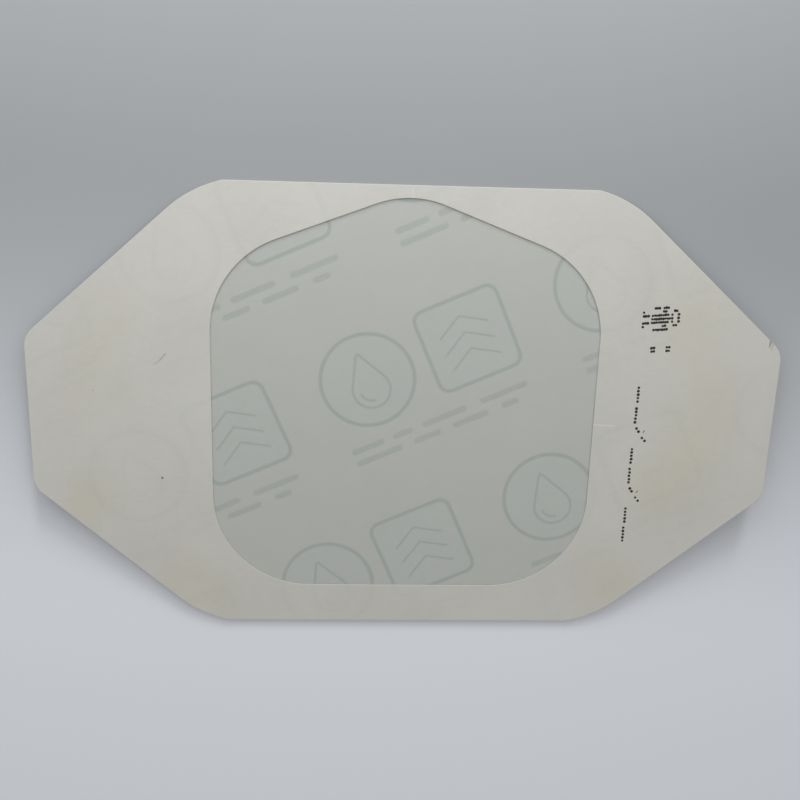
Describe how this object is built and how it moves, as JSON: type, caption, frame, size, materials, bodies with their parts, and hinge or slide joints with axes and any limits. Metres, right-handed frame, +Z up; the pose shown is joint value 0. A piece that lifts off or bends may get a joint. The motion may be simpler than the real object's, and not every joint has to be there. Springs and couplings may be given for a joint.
{
  "type": "film dressing",
  "caption": "Frame-style clear film dressing, liner down: white paper frame with a peaked window, thin clear film and a release liner; both wings rise a little off the table.",
  "frame": {"origin": "middle of the outline, on the surface that the release liner lies on", "axes": "+X along the wings to the higher wing with the ink marks, +Y towards the window's apex, +Z up from the liner to the paper frame"},
  "size_m": [0.0976, 0.06, 0.0027],
  "materials": {
    "frame_paper": "white coated paper with a faint fibre texture, slightly yellowed in patches",
    "clear_film": "clear matt polyurethane film, satin",
    "liner_paper": "white silicone-coated release paper, smooth, printed in grey green on its outer side"
  },
  "bodies": {
    "root": {"paper_frame": "frame_paper", "film": "clear_film", "release_liner": "liner_paper"}
  },
  "joints": []
}
